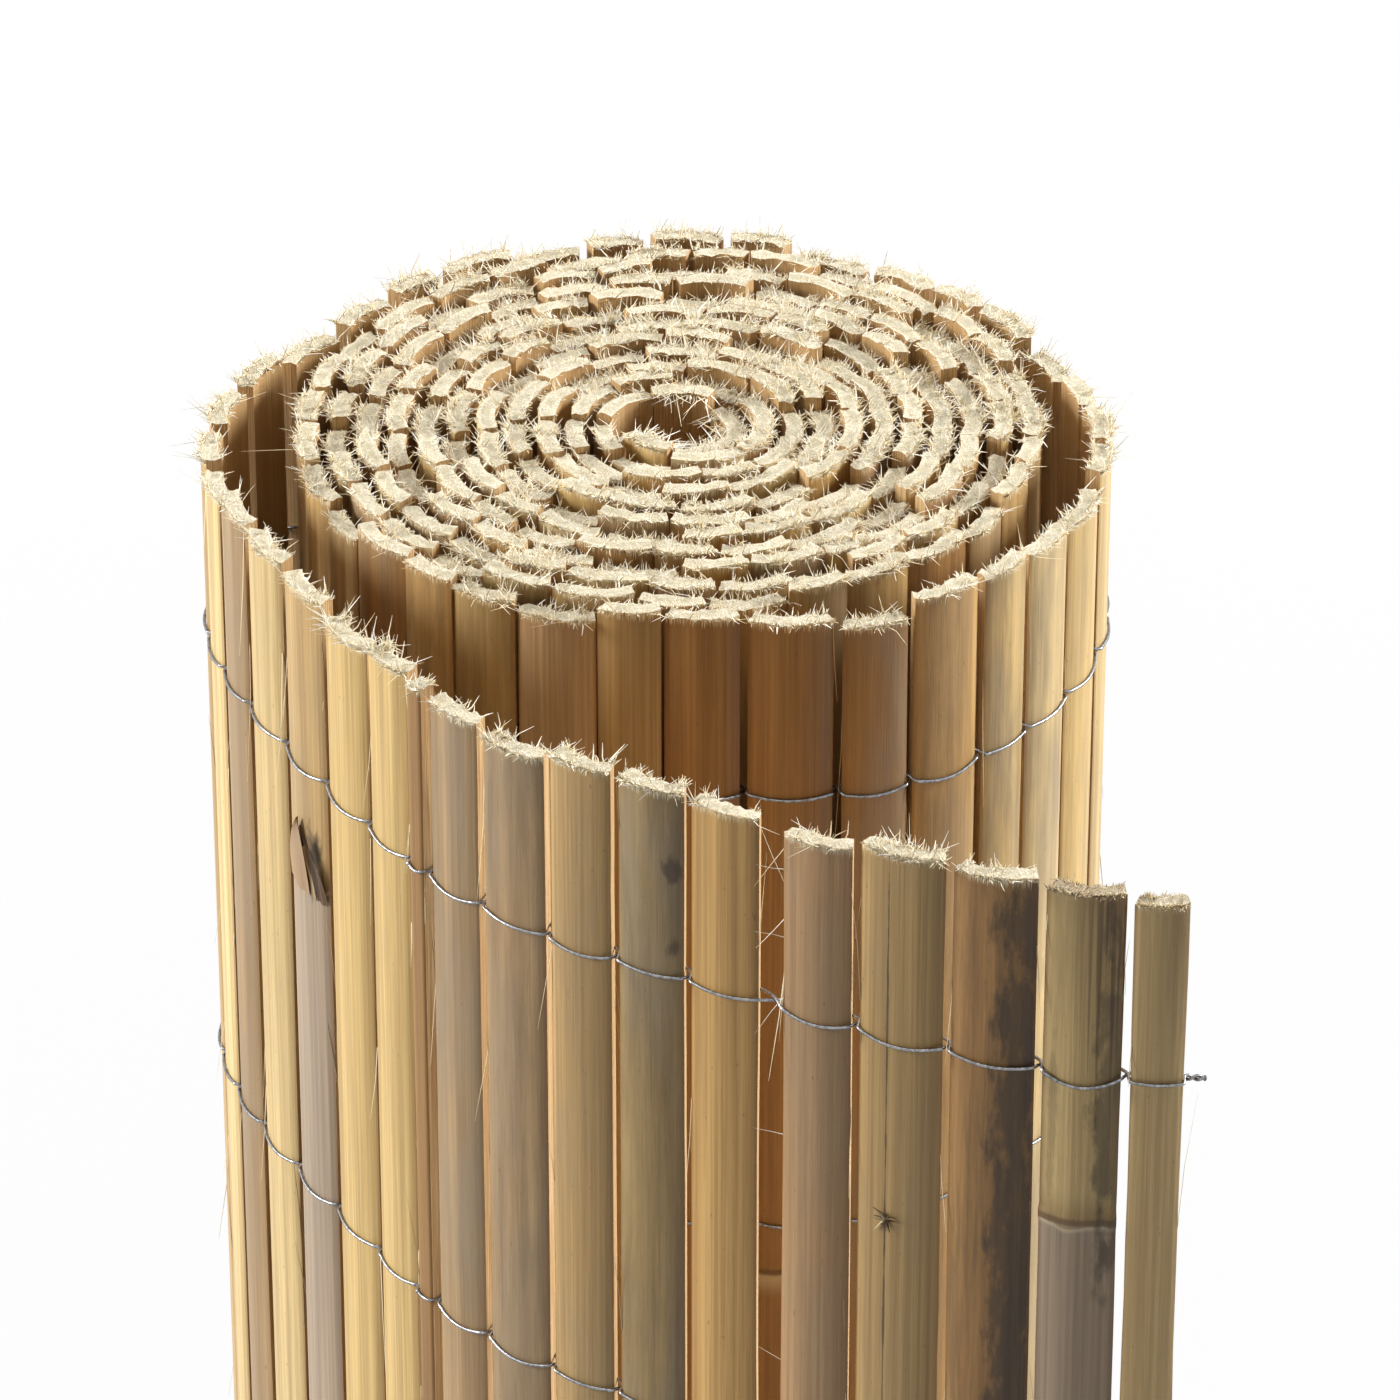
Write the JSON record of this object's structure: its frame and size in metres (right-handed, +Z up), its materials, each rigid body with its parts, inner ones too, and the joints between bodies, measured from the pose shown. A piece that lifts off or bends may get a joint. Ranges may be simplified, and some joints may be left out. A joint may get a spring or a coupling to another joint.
{
  "type": "split bamboo screen",
  "caption": "Rolled-up garden screen of upright split bamboo slats bound by rows of thin wire, stood on end with its outer turn sprung loose and its free end open as a flap.",
  "frame": {"origin": "middle of the footprint's box, on the floor that the slats' feet stand on", "axes": "+Z up along the slats, +X to the right and +Y to the back as seen from the side where the flap stands out"},
  "size_m": [0.2605, 0.3517, 0.914],
  "materials": {
    "bamboo": "natural split cane with a dry satin skin, pale fibrous saw-cut ends and weathered stains",
    "wire": "thin galvanised binding wire, slightly dulled"
  },
  "bodies": {
    "root": {"flap_slat_01": "bamboo", "flap_slat_02": "bamboo", "flap_slat_03": "bamboo", "flap_slat_04": "bamboo", "flap_slat_05": "bamboo", "flap_slat_06": "bamboo", "flap_slat_07": "bamboo", "flap_slat_08": "bamboo", "flap_slat_09": "bamboo", "flap_slat_10": "bamboo", "flap_slat_11": "bamboo", "flap_slat_12": "bamboo", "flap_slat_13": "bamboo", "flap_slat_14": "bamboo", "flap_slat_15": "bamboo", "flap_slat_16": "bamboo", "flap_slat_17": "bamboo", "flap_slat_18": "bamboo", "loose_turn_slats": "bamboo", "tight_turn_01_slats": "bamboo", "tight_turn_02_slats": "bamboo", "tight_turn_03_slats": "bamboo", "tight_turn_04_slats": "bamboo", "tight_turn_05_slats": "bamboo", "tight_turn_06_slats": "bamboo", "tight_turn_07_slats": "bamboo", "tight_turn_08_slats": "bamboo", "tight_turn_09_slats": "bamboo", "tight_turn_10_slats": "bamboo", "tight_turn_11_slats": "bamboo", "tight_turn_12_slats": "bamboo", "wire_row_1": "wire", "wire_row_2": "wire", "wire_row_3": "wire", "wire_row_4": "wire", "wire_row_5": "wire", "wire_row_6": "wire", "wire_row_7": "wire"}
  },
  "joints": []
}
